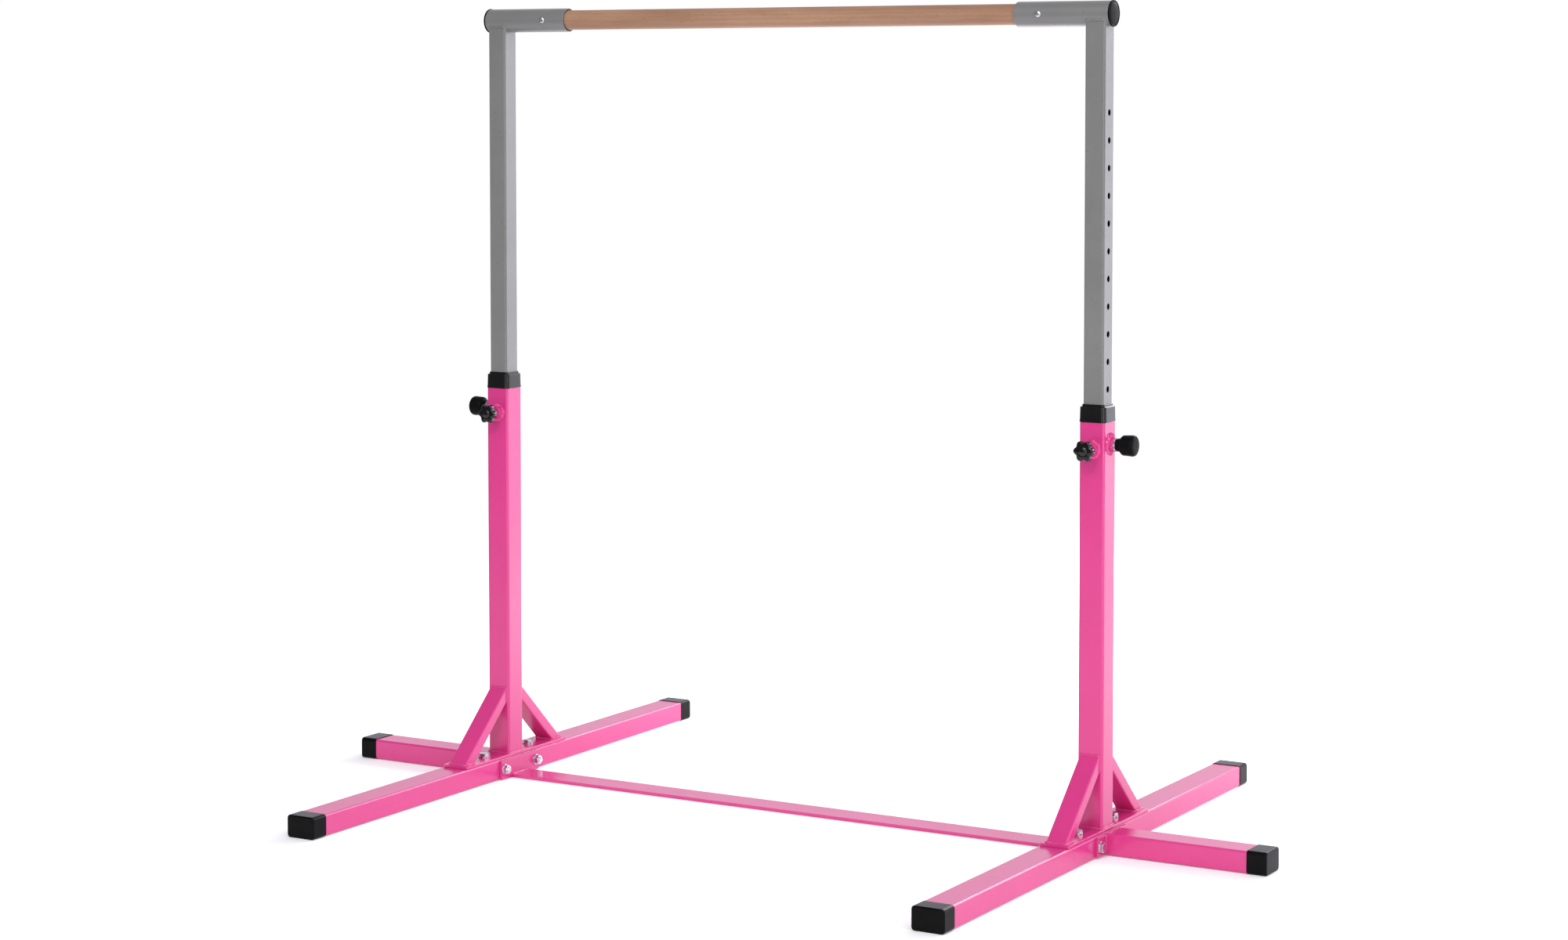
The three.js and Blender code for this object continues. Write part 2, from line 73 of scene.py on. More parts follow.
CAP = {"wall": 1.0, "end": 3.0, "corner": 6.5, "edge": 2.8, "mouth": 0.5, "crown": 0.35}
COLLAR = {"shoulder": 815.0, "corner": 9.0, "taper": 1.0, "edge": 1.4, "lip": 44.4}
FLANGE = {"thick": 5.0, "corner": 3.0}
STRAP = {"wide": 60.0, "thick": 6.0}
BRACE = {"deep": 22.0, "corner": 3.0}

SLEEVE_WALL = 2.0
SLEEVE_MOUTH = 0.9
SLEEVE_CAP_RIM = 2.6
RAIL_END = 1.5
SCREW = {"head": 6.0, "high": 3.0, "shank": 2.4, "slot": 5.0, "slot_wide": 1.2, "slot_deep": 1.6}

BOLT = {"shank": 5.0, "flats": 17.0, "head": 6.0, "washer": 10.5, "washer_thick": 2.0}
BOLT_EDGE = {"washer": 0.35, "hexagon": 0.25, "chamfer": radians(30)}
BOLT_CLEARANCE = 0.4
THREAD = {"pitch": 1.5, "depth": 0.75, "length": 16.0}

PIN = {"radius": 5.0, "shoulder": 6.8, "shoulder_thick": 2.0, "tip": 1.4}
BARREL = {"radius": 13.0, "bore": 9.0}
SPRING = {"turns": 2.75, "wire": 0.5, "steps": 24}
BUSH = {"ring": 12.5, "thick": 4.0, "chamber": 7.6, "lip": 2.0, "teeth": 30, "tooth": 0.55}
KNOB = {"neck": 12.0, "neck_long": 9.0, "root": 18.4, "radius": 19.4, "edge": 4.6, "dome": 2.0}
STAR = {"lobes": 6, "tip": 19.8, "valley": 16.0, "edge": 3.2, "thick": 15.0}
STAR_BOSS = {"radius": 8.6, "groove": 0.8, "dome": 2.4}
INSERT = {"flange": 8.0, "neck": 6.8, "body": 7.6}

WELD = {"step": 0.62, "pitch": 3.1, "ripple": 0.16, "swell": 0.22}
SEAM = {"arm": 2.3, "strap": 2.4, "post": 2.8, "head": 2.1, "foot": 2.4, "sleeve": 2.2}  # radii

ROUND = 64  # segments round a boss or a washer
FINE_ROUND = 96  # round the sleeve, the rail and a star knob
HEX_ROUND = 72
SHANK_ROUND = 36
WIRE_ROUND = 12  # round a weld and a spring's wire
SMOOTH_ANGLE = radians(38)

SIDES = {"left": -1, "right": 1}
ENDS = {"front": 1, "back": -1}


# ---------------- the frame, in millimetres
def cad_box(node):
    """The lowest and the highest corner of a CAD node, in millimetres."""
    low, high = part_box(node)
    return Vector(low) / MM, Vector(high) / MM


def travel(name):
    """A joint's longer limit, in millimetres."""
    limits = next(joint["range_m"] for joint in frame["joints"] if joint["name"] == name)
    return max(abs(v) for v in limits) / MM


MAST_X = sum(cad_box("post_right"), Vector()).x / 2


class Room:
    """The space that a CAD node of the right mast holds, in the mast's own frame."""

    def __init__(self, node):
        low, high = cad_box(node)
        mast = Vector((MAST_X, 0, 0))
        self.low = low - mast
        self.high = high - mast
        self.size = high - low
        self.middle = (self.low + self.high) / 2


class Place:
    """Where a piece goes: a mast and, for a piece that a mast has twice, its front or back."""

    def __init__(self, side=None, end=None):
        self.suffix = "".join(f"_{part}" for part in (side, end) if part)
        self.turn = SIDES.get(side, 1) * ENDS.get(end, 1)  # -1 where the piece is mirrored
        self.seed = 3 * SIDES.get(side, 0) + ENDS.get(end, 0)
        shift = Matrix.Translation((SIDES.get(side, 0) * MAST_X, 0, 0))
        flip = Matrix.Diagonal((SIDES.get(side, 1), ENDS.get(end, 1), 1, 1))
        self.matrix = Matrix.Scale(MM, 4) @ shift @ flip


# ---------------- outlines
def rounded(corners, steps=5, closed=True):
    """A polyline's points, with the corners that give a radius turned into arcs."""
    points = []
    count = len(corners)
    for i, corner in enumerate(corners):
        here = Vector(corner[:2])
        radius = corner[2] if len(corner) > 2 else 0
        if radius <= 0 or (not closed and i in (0, count - 1)):
            points.append(here)
            continue
        back = (Vector(corners[i - 1][:2]) - here).normalized()
        on = (Vector(corners[(i + 1) % count][:2]) - here).normalized()
        half = back.angle(on) / 2
        centre = here + (back + on).normalized() * radius / sin(half)
        first = here + back * radius / tan(half) - centre
        last = here + on * radius / tan(half) - centre
        sweep = first.angle_signed(last)
        for k in range(steps + 1):
            spoke = first.copy()
            spoke.rotate(Matrix.Rotation(-sweep * k / steps, 2))
            points.append(centre + spoke)
    return points


def rectangle(wide, high, corner):
    w, h = wide / 2, high / 2
    return rounded([(w, h, corner), (-w, h, corner), (-w, -h, corner), (w, -h, corner)])


OUT, BACK, UP = Vector((1, 0, 0)), Vector((0, 1, 0)), Vector((0, 0, 1))
AXES = {  # in the order of x, y and z
    "out": lambda u, v, w: Vector((w, u, v)),
    "front": lambda u, v, w: Vector((u, -w, v)),
    "up": lambda u, v, w: Vector((u, v, w)),
}


def axis_foot(axis, centre):
    """The point at w = 0 on an axis through the centre: out, front or up."""
    foot = centre.copy()
    foot[list(AXES).index(axis)] = 0
    return foot


def on_axis(axis, centre, w, outline):
    """The outline's points, w along an axis through the centre."""
    foot = axis_foot(axis, centre)
    return [foot + AXES[axis](u, v, w) for u, v in outline]


def polar(axis, centre, radius, w, count=ROUND):
    """A ring round an axis. The radius and w are numbers or functions of the angle."""
    foot = axis_foot(axis, centre)
    ring = []
    for i in range(count):
        a = 2 * pi * i / count
        r = radius(a) if callable(radius) else radius
        along = w(a) if callable(w) else w
        ring.append(foot + AXES[axis](r * cos(a), r * sin(a), along))
    return ring


def hoop(centre, radius, one, other):
    """A ring round a wire or a weld, in the plane of two unit vectors."""
    turns = [2 * pi * k / WIRE_ROUND for k in range(WIRE_ROUND)]
    return [centre + radius * (cos(a) * one + sin(a) * other) for a in turns]


def quarter(steps):
    return [pi / 2 * k / steps for k in range(steps + 1)]


def edge_arc(edge, steps=5):
    """(inset, drop) pairs of a quarter-round edge, from the side to the flat face."""
    return [(edge * (1 - cos(a)), edge * (1 - sin(a))) for a in quarter(steps)]


def dome(radius, base, top, steps):
    """(radius, w) pairs of a domed face, from its rim to its middle."""
    return [(radius * cos(a), base + (top - base) * sin(a)) for a in quarter(steps)]


def threaded(radius, start, end, hand):
    """The profile of a threaded rod, where the radius is a function of the angle."""
    def thread(w):
        def at(angle):
            phase = (w / THREAD["pitch"] - hand * angle / (2 * pi)) % 1
            return radius - THREAD["depth"] * abs(2 * phase - 1)
        return at

    rows = max(2, round(abs(end - start) / THREAD["pitch"] * 6))
    stops = [start + (end - start) * i / rows for i in range(rows + 1)]
    return [(thread(w), w) for w in stops]


def evenly(path, step, closed):
    """Points about one step apart along a path, and the real step."""
    stops = list(path) + ([path[0]] if closed else [])
    lengths = [(b - a).length for a, b in zip(stops, stops[1:])]
    total = sum(lengths)
    count = max(4, round(total / step))
    points = []
    leg, passed = 0, 0.0
    for i in range(count if closed else count + 1):
        target = total * i / count
        while leg < len(lengths) - 1 and passed + lengths[leg] < target:
            passed += lengths[leg]
            leg += 1
        share = (target - passed) / lengths[leg] if lengths[leg] else 0
        points.append(stops[leg].lerp(stops[leg + 1], min(share, 1)))
    return points, total / count


# ---------------- shapes
class Shape:
    """The closed skins of one piece. Cuts are taken out of them; seams are laid on after."""

    def __init__(self, edge=0.0):
        self.verts = []
        self.faces = []
        self.edge = edge
        self.cuts = None
        self.seams = None

    def cutter(self):
        self.cuts = self.cuts or Shape()
        return self.cuts

    def welds(self):
        self.seams = self.seams or Shape()
        return self.seams

    def loft(self, rings, closed=False):
        """Skins a row of rings of equally many points, closed on itself or by its end rings."""
        start, count, rows = len(self.verts), len(rings[0]), len(rings)
        for ring in rings:
            self.verts.extend(ring)
        for i in range(rows if closed else rows - 1):
            a = start + i * count
            b = start + (i + 1) % rows * count
            for j in range(count):
                k = (j + 1) % count
                self.faces.append((a + j, a + k, b + k, b + j))
        if not closed:
            last = start + (rows - 1) * count
            self.faces.append([start + j for j in reversed(range(count))])
            self.faces.append([last + j for j in range(count)])

    def lathe(self, axis, centre, profile, closed=False, count=ROUND):
        """Turns a profile of (radius, w) points round an axis."""
        self.loft([polar(axis, centre, r, w, count) for r, w in profile], closed)

    def rod(self, axis, centre, radius, start, end, count=32):
        self.lathe(axis, centre, [(radius, start), (radius, end)], count=count)

    def stack(self, axis, centre, stations, closed=False):
        """Skins rounded rectangles, each given as (w, wide, high, corner)."""
        rings = [on_axis(axis, centre, w, rectangle(*size)) for w, *size in stations]
        self.loft(rings, closed)

    def slab(self, axis, centre, size, start, end, edge=SHEET_EDGE):
        """A plate or bar of a size (wide, high, corner), with rounded edges at both ends."""
        wide, high, corner = size
        stations = []
        for base, way in ((start, 1), (end, -1)):
            half = []
            for rise, inset in edge_arc(edge, 3):
                section = (wide - 2 * inset, high - 2 * inset, max(corner - inset, 0.2))
                half.append((base + way * rise, *section))
            stations += half if way == 1 else reversed(half)
        self.stack(axis, centre, stations)

    def tube(self, axis, centre, size, wall, start, end):
        """An open rectangular tube of a size (wide, high, corner)."""
        wide, high, corner = size
        inner = (wide - 2 * wall, high - 2 * wall, max(corner - wall, 0.6))
        stations = [(start, *size), (end, *size), (end, *inner), (start, *inner)]
        self.stack(axis, centre, stations, closed=True)

    def bead(self, path, radius, up, closed=True, swell=WELD["swell"], lumps=0.14):
        """A weld seam along a path, with the ripples and swellings that the torch leaves."""
        points, step = evenly(path, WELD["step"], closed)
        last = len(points) - 1
        length = step * len(points)
        pitch = length / max(1, round(length / WELD["pitch"]))
        rings = []
        for i, point in enumerate(points):
            ahead = points[(i + 1) % len(points)] if closed else points[min(i + 1, last)]
            behind = points[i - 1] if closed or i else points[0]
            along = (ahead - behind).normalized()
            across = along.cross(up).normalized()
            above = across.cross(along)
            phase = i * step / pitch % 1
            r = radius * (1 + WELD["ripple"] * (phase ** 2 - 0.3))
            r *= 1 + swell * noise.noise(point * lumps)
            if not closed:
                r *= min(1, 0.3 + min(i, last - i) * step / (1.5 * radius))
            rings.append(hoop(point, r, across, above))
        self.loft(rings, closed)


def lathed(axis, room, profile, closed=False, count=ROUND, edge=0.0):
    """A shape turned round an axis through the middle of a room."""
    shape = Shape(edge)
    shape.lathe(axis, room.middle, profile, closed, count)
    return shape


def turned(axis, room, corners, steps, closed=True, count=ROUND, edge=0.0):
    """The same, with the corners of the profile rounded."""
    return lathed(axis, room, rounded(corners, steps, closed), closed, count, edge)


# ---------------- rooms that are used often
BASE = Room("base_tube_right")
PLATE = Room("foot_plate_right")
SIDE_BOLT = Room("side_bolt_right_front")
SIDE_NUT = Room("side_nut_right_front")
PLATE_BOLT = Room("plate_bolt_right_front")
PIN_ROOM = Room("plunger_pin_right")
RAIL_LOW, RAIL_HIGH = cad_box("rail")
RAIL_RADIUS = (RAIL_HIGH - RAIL_LOW).z / 2
RAIL_SCREW = Room("rail_screw_right")
HOLE = BOLT["shank"] + BOLT_CLEARANCE
PIN_HOLE = PIN["radius"] + BOLT_CLEARANCE
FLANGE_NEAR = BASE.high.x + SEAT_GAP
FLANGE_FAR = FLANGE_NEAR + FLANGE["thick"]
UPRIGHT = Room("upright_right")
SLEEVE = Room("sleeve_right")
SLEEVE_RADIUS = SLEEVE.size.z / 2


# ---------------- base
def side_bolt_holes(shape, start, end, x=0.0):
    for way in (-1, 1):
        centre = Vector((0, way * SIDE_BOLT.middle.y, SIDE_BOLT.middle.z))
        shape.cutter().rod("out", centre, HOLE, x + start, x + end)


def plate_bolt_holes(shape, start, end):
    for way in (-1, 1):
        centre = Vector((0, way * PLATE_BOLT.middle.y, 0))
        shape.cutter().rod("up", centre, HOLE, start, end)


def base_tube(place):
    shape = Shape(HOLE_EDGE)
    half = BASE.size.y / 2
    size = (BASE.size.x, BASE.size.z, BASE_CORNER)
    shape.tube("front", BASE.middle, size, TUBE_WALL, -half, half)
    side_bolt_holes(shape, BASE.low.x - 1, BASE.high.x + 1)
    plate_bolt_holes(shape, BASE.middle.z, BASE.high.z + 1)
    return shape


def cap(axis, room, mouth, end, size):
    """A push-on cap: a cup with rounded edges and a faintly crowned end."""
    wide, high = size
    inside = (wide - 2 * CAP["wall"], high - 2 * CAP["wall"], BASE_CORNER)
    lip = CAP["mouth"]
    stations = [
        (end - CAP["end"], *inside),
        (mouth + lip, *inside),
        (mouth, wide - CAP["wall"], high - CAP["wall"], CAP["corner"] - lip),
        (mouth + lip / 3, wide - lip / 2, high - lip / 2, CAP["corner"]),
        (mouth + lip, wide, high, CAP["corner"]),
    ]
    for inset, drop in edge_arc(CAP["edge"], 6):
        corner = CAP["corner"] - inset / 2
        stations.append((end - CAP["crown"] - drop, wide - 2 * inset, high - 2 * inset, corner))
    inset = 3 * CAP["edge"]
    stations.append((end, wide - 2 * inset, high - 2 * inset, CAP["corner"] / 2))
    shape = Shape()
    shape.stack(axis, room.middle, stations)
    return shape


def base_cap(place):
    room = Room("base_cap_right_front")
    return cap("front", room, -room.high.y, -room.low.y, (room.size.x, room.size.z))


def outrigger_cap(place):
    room = Room("outrigger_cap_right")
    return cap("out", room, room.low.x, room.high.x, (room.size.y, room.size.z))


def outrigger(place):
    """The side arm: a bolting flange, and the tube that is welded on it."""
    room = Room("outrigger_right")
    shape = Shape(HOLE_EDGE)
    flange_high = room.size.z - 4
    size = (room.size.y, flange_high, FLANGE["corner"])
    shape.slab("out", room.middle, size, FLANGE_NEAR - SEAT_GAP, FLANGE_FAR)
    side_bolt_holes(shape, FLANGE_NEAR - 1, FLANGE_FAR + 1)
    arm = shape.welds()
    section = (BASE.size.x, BASE.size.z, BASE_CORNER)
    arm.tube("out", room.middle, section, TUBE_WALL, FLANGE_FAR - 0.5, room.high.x)
    sides = (BASE.size.x, flange_high - 1.5, BASE_CORNER)
    path = on_axis("out", room.middle, FLANGE_FAR, rectangle(*sides))
    arm.bead(path, SEAM["arm"], OUT)
    return shape


def floor_strap(place):
    """The flat bar between the masts, with a welded flange at each end."""
    low, high = cad_box("floor_strap")
    middle = (low + high) / 2
    shape = Shape(HOLE_EDGE)
    flat = Vector((0, 0, low.z + STRAP["thick"] / 2))
    welds = shape.welds()
    welds.slab("out", flat, (STRAP["wide"], STRAP["thick"], SHEET_EDGE), low.x + 1, high.x - 1)
    for way in (-1, 1):
        far = way * (high.x + SEAT_GAP)
        near = way * (high.x - FLANGE["thick"])
        size = (high.y - low.y, high.z - low.z, FLANGE["corner"])
        shape.slab("out", middle, size, min(near, far), max(near, far))
        side_bolt_holes(shape, -FLANGE["thick"] - 1, FLANGE["thick"] + 1, far)
        seam_y = STRAP["wide"] / 2 - 1
        seam_z = low.z + STRAP["thick"]
        path = [Vector((near, -seam_y, seam_z)), Vector((near, seam_y, seam_z))]
        welds.bead(path, SEAM["strap"], UP, closed=False)
    return shape


def foot_plate(place):
    shape = Shape(HOLE_EDGE)
    size = (PLATE.size.x, PLATE.size.y, BASE_CORNER)
    shape.slab("up", PLATE.middle, size, PLATE.low.z - SEAT_GAP, PLATE.high.z)
    plate_bolt_holes(shape, PLATE.low.z - 1, PLATE.high.z + 1)
    return shape


def post(place):
    room = Room("post_right")
    shape = Shape(POST_RIM)
    size = (room.size.x, room.size.y, POST_CORNER)
    shape.tube("up", room.middle, size, TUBE_WALL, room.low.z, room.high.z)
    stud = Room("clamp_stud_right").middle
    shape.cutter().rod("out", PIN_ROOM.middle, PIN_HOLE, 0, room.size.x)
    shape.cutter().rod("front", stud, HOLE, 0, room.size.x)
    path = on_axis("up", room.middle, room.low.z - SEAT_GAP, rectangle(*size))
    shape.welds().bead(path, SEAM["post"], UP)
    return shape


def brace(place):
    """A mitred rectangular tube from the post's face down to the foot plate."""
    room = Room("brace_right_front")
    face, floor = room.high.y, room.low.z
    foot, head = room.low.y, room.high.z
    along = Vector((0, foot - face, floor - head)).normalized()
    outward = Vector((0, along.z, -along.y))
    edge = Vector((0, face, head))

    def cut_ring(size, plane):
        """The tube's section, carried along it to the post's face or to the plate."""
        ring = []
        for u, v in rectangle(*size):
            point = edge + Vector((u, 0, 0)) + outward * (v - BRACE["deep"] / 2)
            if plane == "face":
                point += along * (face - point.y) / along.y
            else:
                point += along * (floor - point.z) / along.z
            ring.append(point)
        return ring

    wide = room.size.x
    outer = (wide, BRACE["deep"], BRACE["corner"])
    inner = (wide - 2 * TUBE_WALL, BRACE["deep"] - 2 * TUBE_WALL, BRACE["corner"] - TUBE_WALL)
    shape = Shape()
    rings = [cut_ring(outer, "face"), cut_ring(outer, "floor")]
    rings += [cut_ring(inner, "floor"), cut_ring(inner, "face")]
    shape.loft(rings, closed=True)
    welds = shape.welds()
    welds.bead(rings[0], SEAM["head"], BACK)
    welds.bead(rings[1], SEAM["foot"], UP)
    return shape


def post_collar(place):
    """A guide sleeve in the post's mouth: skirt, tapered body, and a lip round the upright."""
    room = Room("post_collar_right")
    top, bottom = room.high.z, room.low.z
    side = room.size.x
    outside = Room("post_right")
    skirt, body = outside.size.x - 2 * TUBE_WALL - 0.6, outside.high.z
    bore = UPRIGHT.size.x + 0.6
    shoulder = COLLAR["shoulder"]
    foot = side + COLLAR["taper"]
    stations = [
        (bottom, skirt, skirt, UPRIGHT_CORNER),
        (body, skirt, skirt, UPRIGHT_CORNER),
        (body, foot - 1, foot - 1, COLLAR["corner"]),
        (body + 0.5, foot, foot, COLLAR["corner"]),
        (body + 5, side - 0.1, side - 0.1, COLLAR["corner"]),
    ]
    waist = side - COLLAR["taper"]
    for inset, drop in edge_arc(COLLAR["edge"]):
        size = waist - 2 * inset
        stations.append((shoulder - drop, size, size, COLLAR["corner"] - inset / 2))
    lip = COLLAR["lip"]
    stations.append((shoulder, lip + 1.2, lip + 1.2, UPRIGHT_CORNER + 1))
    stations.append((shoulder + 0.6, lip, lip, UPRIGHT_CORNER + 1))
    for inset, drop in edge_arc(0.9, 3):
        size = lip - 2 * inset
        stations.append((top - drop, size, size, UPRIGHT_CORNER + 1 - inset / 2))
    stations.append((top, bore, bore, UPRIGHT_CORNER))
    stations.append((bottom, bore, bore, UPRIGHT_CORNER))
    shape = Shape()
    shape.stack("up", room.middle, stations, closed=True)
    return shape


# ---------------- bolts, nuts and screws
def washer(shape, axis, centre, start, end):
    bore, rim, edge = HOLE, BOLT["washer"], BOLT_EDGE["washer"]
    corners = [(bore, start), (rim, start, edge), (rim, end, edge), (bore, end, edge)]
    shape.lathe(axis, centre, rounded(corners, 3), closed=True)


def hexagon(turn):
    """The radius of a hexagon across its flats, as a function of the angle."""
    def at(angle):
        a = (angle - turn) % (pi / 3) - pi / 6
        return BOLT["flats"] / 2 / cos(a)
    return at


def hex_profile(start, end, turn):
    """A hexagon with the curved chamfer of a turned face at its far end."""
    radius = hexagon(turn)
    face = 0.95 * BOLT["flats"] / 2
    edge = BOLT_EDGE["hexagon"]
    way = 1 if end > start else -1
    lower = min if way > 0 else max

    def chamfer(angle):
        return end - way * max(0, radius(angle) - face) * tan(BOLT_EDGE["chamfer"])

    def rim(angle):
        return min(radius(angle), face + 0.55) - 0.12

    return [
        (lambda a: radius(a) - edge, start),
        (radius, start + way * edge),
        (radius, lambda a: chamfer(a) - way * edge),
        (rim, lambda a: lower(chamfer(a), end - way * 0.2)),
        (face - 0.2, end),
    ]


def bolt(axis, room, place):
    """Head, washer and a shank that is threaded near its tail."""
    i = list(AXES).index(axis)
    centre, tail, top = room.middle, room.low[i], room.high[i]
    washer_end = top - BOLT["head"]
    turn = radians(13 + 17 * place.seed)
    shape = Shape()
    washer(shape, axis, centre, washer_end - BOLT["washer_thick"] - SEAT_GAP, washer_end)
    dish = BOLT["flats"] / 2 * 0.72
    head = hex_profile(washer_end, top, turn) + [(dish, top), (dish - 0.5, top - 0.25)]
    shape.lathe(axis, centre, head, count=HEX_ROUND)
    radius, thread_end = BOLT["shank"], tail + THREAD["length"]
    shank = [
        (radius - 1.2, tail),
        *threaded(radius, tail + 0.8, thread_end, place.turn),
        (radius, thread_end + 0.6),
        (radius, washer_end + 0.5),
    ]
    shape.lathe(axis, centre, shank, count=SHANK_ROUND)
    return shape


def side_bolt(place):
    return bolt("out", SIDE_BOLT, place)


def plate_bolt(place):
    return bolt("up", PLATE_BOLT, place)


def side_nut(place):
    """The nut and washer on the inner side, against the strap's flange."""
    seat, end = SIDE_NUT.high.x, SIDE_NUT.low.x
    washer_end = seat - BOLT["washer_thick"]
    shape = Shape()
    washer(shape, "out", SIDE_NUT.middle, washer_end, seat + SEAT_GAP)
    profile = hex_profile(washer_end, end, radians(5 - 19 * place.seed))
    profile += [(BOLT["shank"] + 1.0, end), (HOLE - 0.3, end + 0.9), (HOLE - 0.3, washer_end)]
    shape.lathe("out", SIDE_NUT.middle, profile, closed=True, count=HEX_ROUND)
    return shape


def cross(long):
    """The radius of a cross recess, as a function of the angle."""
    def at(angle):
        off = abs((angle + pi / 4) % (pi / 2) - pi / 4)
        return min(long / 2 / cos(off), SCREW["slot_wide"] / 2 / max(sin(off), 1e-6))
    return at


def rail_screw(place):
    """A pan-head screw with a cross recess."""
    tip, top = -RAIL_SCREW.high.y, -RAIL_SCREW.low.y
    under = top - SCREW["high"]
    head, shank, slot = SCREW["head"], SCREW["shank"], SCREW["slot"]
    profile = [(0, tip), (shank, tip + 3), (shank, under - SEAT_GAP)]
    profile += [(head - 0.2, under - SEAT_GAP), (head, under)]
    for a in quarter(8)[1:-1]:
        profile.append((head * cos(a) ** 0.8, under + SCREW["high"] * sin(a) ** 0.75))
    profile.append((cross(slot + 0.3), top))
    profile.append((cross(slot), top - 0.2))
    profile.append((cross(slot * 0.45), top - SCREW["slot_deep"]))
    return lathed("front", RAIL_SCREW, profile, count=FINE_ROUND)


# ---------------- upper frame
def upright(place):
    shape = Shape(HOLE_EDGE)
    wide = UPRIGHT.size.x
    size = (wide, UPRIGHT.size.y, UPRIGHT_CORNER)
    axis_z = SLEEVE.middle.z
    shape.tube("up", UPRIGHT.middle, size, TUBE_WALL, UPRIGHT.low.z, axis_z)
    cutter = shape.cutter()
    cutter.rod("out", SLEEVE.middle, SLEEVE_RADIUS - 0.2, -wide, wide, ROUND)
    for i in range(round(travel("height_slide") / HOLE_PITCH) + 1):
        centre = Vector((0, 0, PIN_ROOM.middle.z + i * HOLE_PITCH))
        cutter.rod("out", centre, HOLE_RADIUS, 0, wide)
    path = []
    for u, v in rectangle(*size):
        path.append(Vector((u, v, axis_z - sqrt(SLEEVE_RADIUS ** 2 - v ** 2))))
    shape.welds().bead(path, SEAM["sleeve"], UP)
    return shape


def sleeve(place):
    bore, outer = SLEEVE_RADIUS - SLEEVE_WALL, SLEEVE_RADIUS
    start, end = SLEEVE.low.x, SLEEVE.high.x
    outline = [(bore, start), (outer, start), (outer, end), (bore, end)]
    corners = [(r, w, SLEEVE_MOUTH) for r, w in outline]
    shape = turned("out", SLEEVE, corners, 3, count=FINE_ROUND, edge=BORE_EDGE)
    shape.cutter().rod("front", RAIL_SCREW.middle, SCREW["shank"] + 0.4, 0, 2 * outer)
    return shape


def sleeve_cap(place):
    """A domed plug with a thin rim, pressed into the outer end of the sleeve."""
    room = Room("sleeve_cap_right")
    face, start = SLEEVE.high.x, room.low.x
    radius = room.size.z / 2
    plug = SLEEVE_RADIUS - SLEEVE_WALL - 0.3
    rim = face + SLEEVE_CAP_RIM
    corners = [
        (0, start),
        (plug - 1, start),
        (plug, start + 1),
        (plug, face),
        (radius, face, 0.4),
        (radius, rim, 1.0),
        (radius - 2.4, rim + 0.5, 0.7),
        (radius - 3.0, rim - 0.4, 0.3),
    ]
    profile = rounded(corners, 4, closed=False) + dome(radius - 3.6, rim - 0.4, room.high.x, 7)
    return lathed("out", room, profile, count=FINE_ROUND)


def rail_bush(place):
    """The plastic lining between the sleeve's mouth and the rail."""
    room = Room("rail_bush_right")
    inner, outer = RAIL_RADIUS + 0.15, SLEEVE_RADIUS - SLEEVE_WALL - 0.2
    start, end = room.low.x, room.high.x
    corners = [(inner, start, 0.3), (outer, start, 0.5), (outer, end), (inner, end)]
    return turned("out", room, corners, 3, count=FINE_ROUND)


def rail(place):
    radius, start, end = RAIL_RADIUS, RAIL_LOW.x, RAIL_HIGH.x
    profile = [(radius - RAIL_END, start), (radius - 0.3, start + 0.5), (radius, start + RAIL_END)]
    steps = 40
    for k in range(1, steps):
        profile.append((radius, start + (end - start) * k / steps))
    profile += [(r, -w) for r, w in reversed(profile[:3])]
    shape = Shape(BORE_EDGE)
    shape.lathe("out", (RAIL_LOW + RAIL_HIGH) / 2, profile, count=FINE_ROUND)
    screw = RAIL_SCREW.middle
    for way in (-1, 1):
        centre = Vector((way * (screw.x + MAST_X), 0, screw.z))
        shape.cutter().rod("front", centre, SCREW["shank"] + 0.3, 7, 2 * radius)
    return shape


# ---------------- plungers
def boss(axis, room, start, end, bore, seams):
    """A turned boss, welded on the post's face by seams of (path radius, radius, lift)."""
    outer = BARREL["radius"]
    corners = [(bore, start), (outer, start), (outer, end, 0.8), (bore, end, 0.5)]
    shape = turned(axis, room, corners, 4)
    for around, thick, lift in seams:
        path = polar(axis, room.middle, around, start + lift, 48)
        shape.welds().bead(path, thick, AXES[axis](0, 0, 1), swell=1.2, lumps=0.13)
    return shape


def plunger_boss(place):
    room = Room("plunger_boss_right")
    seams = [(13.9, 3.2, 1.6), (15.0, 3.6, 0.2), (17.2, 2.6, -0.6)]
    return boss("out", room, room.low.x - SEAT_GAP, room.high.x, BARREL["bore"], seams)


def clamp_boss(place):
    room = Room("clamp_boss_right")
    seams = [(13.8, 3.4, 0.6), (15.6, 2.6, -0.4)]
    return boss("front", room, -room.high.y - SEAT_GAP, -room.low.y, HOLE, seams)


def plunger_bush(place):
    """A flanged bush with a serrated ring, which closes the spring's chamber."""
    room = Room("plunger_bush_right")
    end, start = room.high.x, room.low.x
    ring_start = end - BUSH["thick"]
    bore, barrel = PIN_HOLE, BARREL["bore"] - 0.3
    teeth, tooth, flange = BUSH["teeth"], BUSH["tooth"], BUSH["ring"]

    def serrated(angle):
        return flange - tooth * abs((angle * teeth / (2 * pi)) % 1 * 2 - 1)

    profile = [
        (BUSH["chamber"], start),
        (barrel, start),
        (barrel, ring_start - SEAT_GAP),
        (flange - 1.3, ring_start - SEAT_GAP),
        (serrated, ring_start + 0.3),
        (serrated, end - 0.6),
        (flange - 1.3, end),
        (bore + 0.4, end),
        (bore, end - 0.4),
        (bore, end - BUSH["lip"]),
        (BUSH["chamber"], end - BUSH["lip"]),
    ]
    return lathed("out", room, profile, closed=True, count=4 * teeth)


